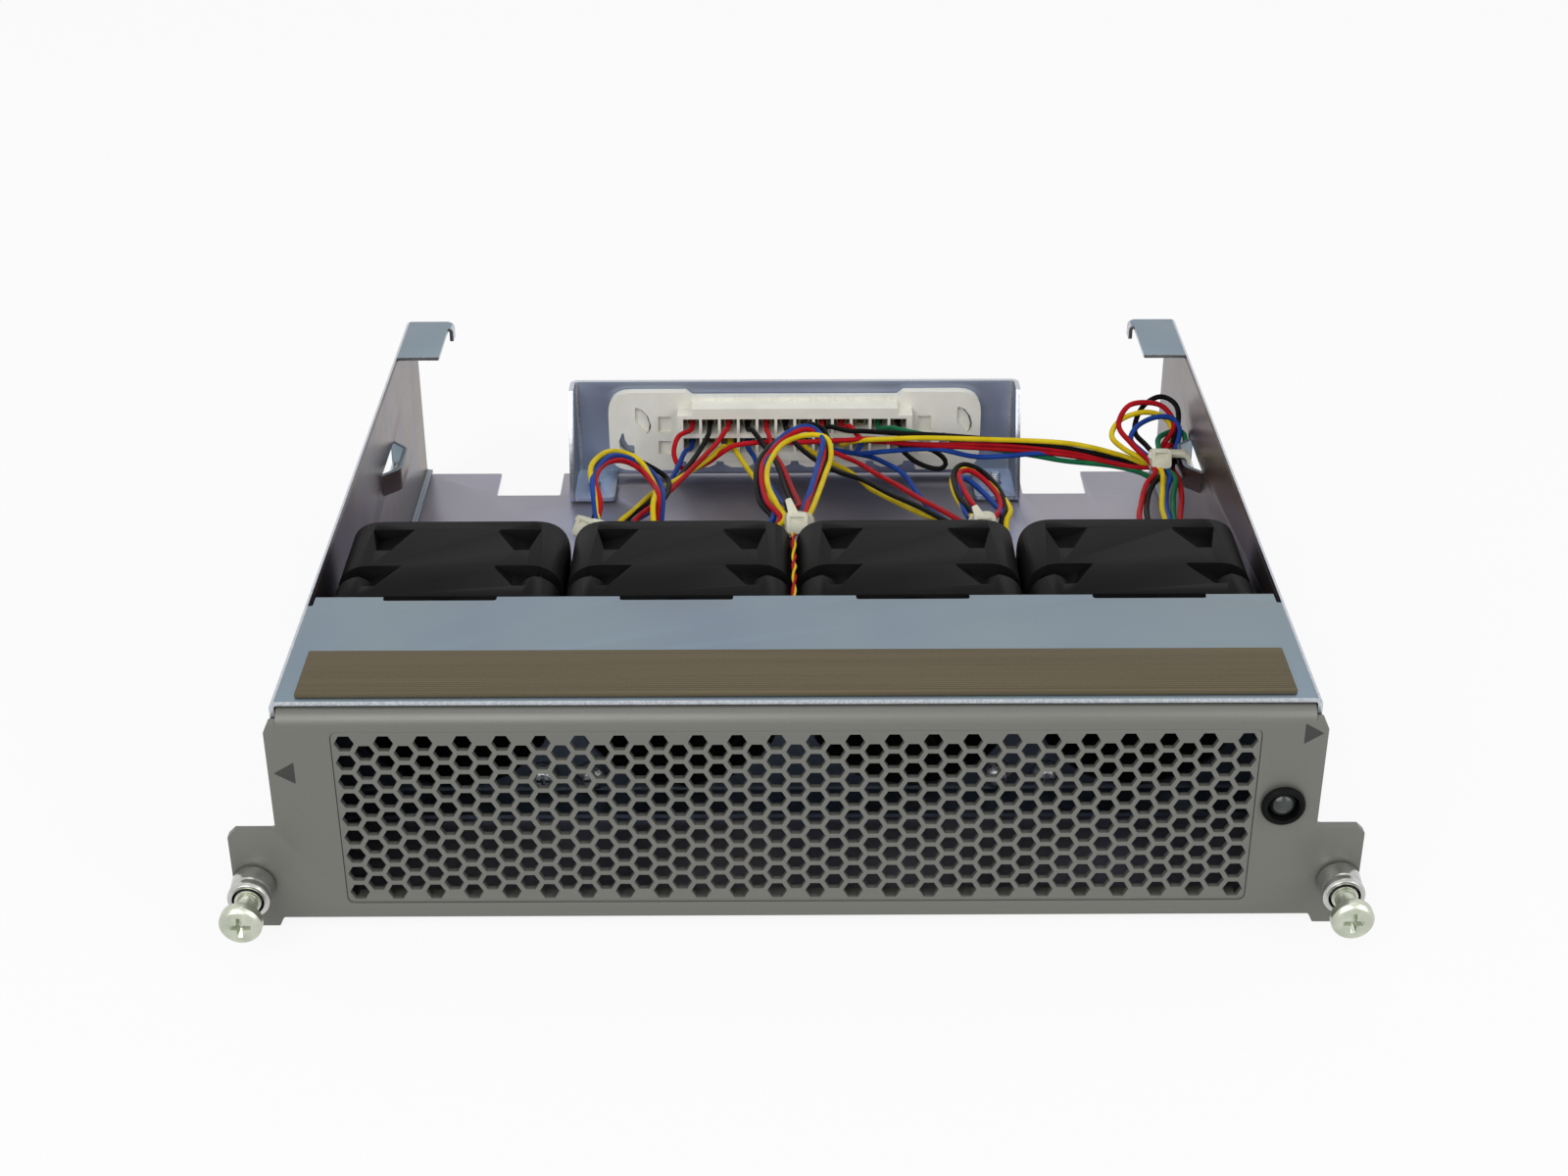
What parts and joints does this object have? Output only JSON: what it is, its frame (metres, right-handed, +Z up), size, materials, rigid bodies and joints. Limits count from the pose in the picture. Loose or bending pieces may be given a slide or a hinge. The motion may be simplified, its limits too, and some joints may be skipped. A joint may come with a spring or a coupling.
{
  "type": "switch fan tray",
  "caption": "Folded sheet tray with a honeycomb bezel, a row of axial fans, blind-mate rear connector and sprung captive screws.",
  "frame": {"origin": "centre of the tray's underside, on the floor plate's lower face", "axes": "+X to the right as seen from the front, +Y from the bezel to the connector, +Z up"},
  "size_m": [0.1864, 0.1879, 0.0436],
  "materials": {
    "paint": "satin silver-grey paint",
    "zinc": "zinc-plated sheet steel",
    "gasket": "conductive woven fabric over foam",
    "black_plastic": "moulded glass-filled thermoplastic",
    "impeller": "moulded thermoplastic",
    "copper": "enamelled copper windings on laminations and board",
    "screw": "zinc-plated steel",
    "spring": "spring steel",
    "lens": "moulded clear tinted epoxy",
    "nylon": "natural nylon",
    "tie": "natural nylon",
    "wire": "PVC insulated stranded wire"
  },
  "bodies": {
    "tray": {"front_bezel": "paint", "bezel_ear_left": "paint", "bezel_ear_right": "paint", "honeycomb_grille": "paint", "chassis_shell": "zinc", "floor_plate": "zinc", "fan_plate": "zinc", "rear_bracket": "zinc", "emi_gasket": "gasket", "fan_frame_1": "black_plastic", "fan_frame_2": "black_plastic", "fan_frame_3": "black_plastic", "fan_frame_4": "black_plastic", "lamp_holder": "black_plastic", "fan_stator_1": "copper", "fan_stator_2": "copper", "fan_stator_3": "copper", "fan_stator_4": "copper", "fan_screw_1_lower": "screw", "fan_screw_1_upper": "screw", "fan_screw_2_lower": "screw", "fan_screw_2_upper": "screw", "fan_screw_3_lower": "screw", "fan_screw_3_upper": "screw", "fan_screw_4_lower": "screw", "fan_screw_4_upper": "screw", "ferrule_left": "screw", "ferrule_right": "screw", "bracket_screw_left": "screw", "bracket_screw_right": "screw", "screw_spring_left": "spring", "screw_spring_right": "spring", "status_lamp": "lens", "connector_housing": "nylon", "cable_tie_1": "tie", "cable_tie_2": "tie", "cable_tie_3": "tie", "cable_tie_4": "tie", "fan_lead_1": "wire", "fan_lead_2": "wire", "fan_lead_3": "wire", "fan_lead_4": "wire", "lamp_lead": "wire"},
    "impeller_1": {"fan_impeller_1": "impeller"},
    "impeller_2": {"fan_impeller_2": "impeller"},
    "impeller_3": {"fan_impeller_3": "impeller"},
    "impeller_4": {"fan_impeller_4": "impeller"},
    "slider_left": {"thrust_washer_left": "spring"},
    "screw_left": {"captive_screw_left": "screw"},
    "slider_right": {"thrust_washer_right": "spring"},
    "screw_right": {"captive_screw_right": "screw"}
  },
  "joints": [
    {"name": "fan_1_spin", "type": "hinge", "parent": "tray", "child": "impeller_1", "pos_m": [-0.0609, -0.04695, 0.021], "axis": [0, 1, 0], "continuous": true},
    {"name": "fan_2_spin", "type": "hinge", "parent": "tray", "child": "impeller_2", "pos_m": [-0.0203, -0.04695, 0.021], "axis": [0, 1, 0], "continuous": true},
    {"name": "fan_3_spin", "type": "hinge", "parent": "tray", "child": "impeller_3", "pos_m": [0.0203, -0.04695, 0.021], "axis": [0, 1, 0], "continuous": true},
    {"name": "fan_4_spin", "type": "hinge", "parent": "tray", "child": "impeller_4", "pos_m": [0.0609, -0.04695, 0.021], "axis": [0, 1, 0], "continuous": true},
    {"name": "captive_left_slide", "type": "slide", "parent": "tray", "child": "slider_left", "axis": [0, 1, 0], "range_m": [0, 0.0044], "stiffness_N_per_m": 400, "deforming": ["screw_spring_left"]},
    {"name": "captive_left_turn", "type": "hinge", "parent": "slider_left", "child": "screw_left", "pos_m": [-0.0896, -0.08325, 0.0071], "axis": [0, 1, 0], "continuous": true},
    {"name": "captive_right_slide", "type": "slide", "parent": "tray", "child": "slider_right", "axis": [0, 1, 0], "range_m": [0, 0.0044], "stiffness_N_per_m": 400, "deforming": ["screw_spring_right"]},
    {"name": "captive_right_turn", "type": "hinge", "parent": "slider_right", "child": "screw_right", "pos_m": [0.0896, -0.08325, 0.0071], "axis": [0, 1, 0], "continuous": true}
  ]
}
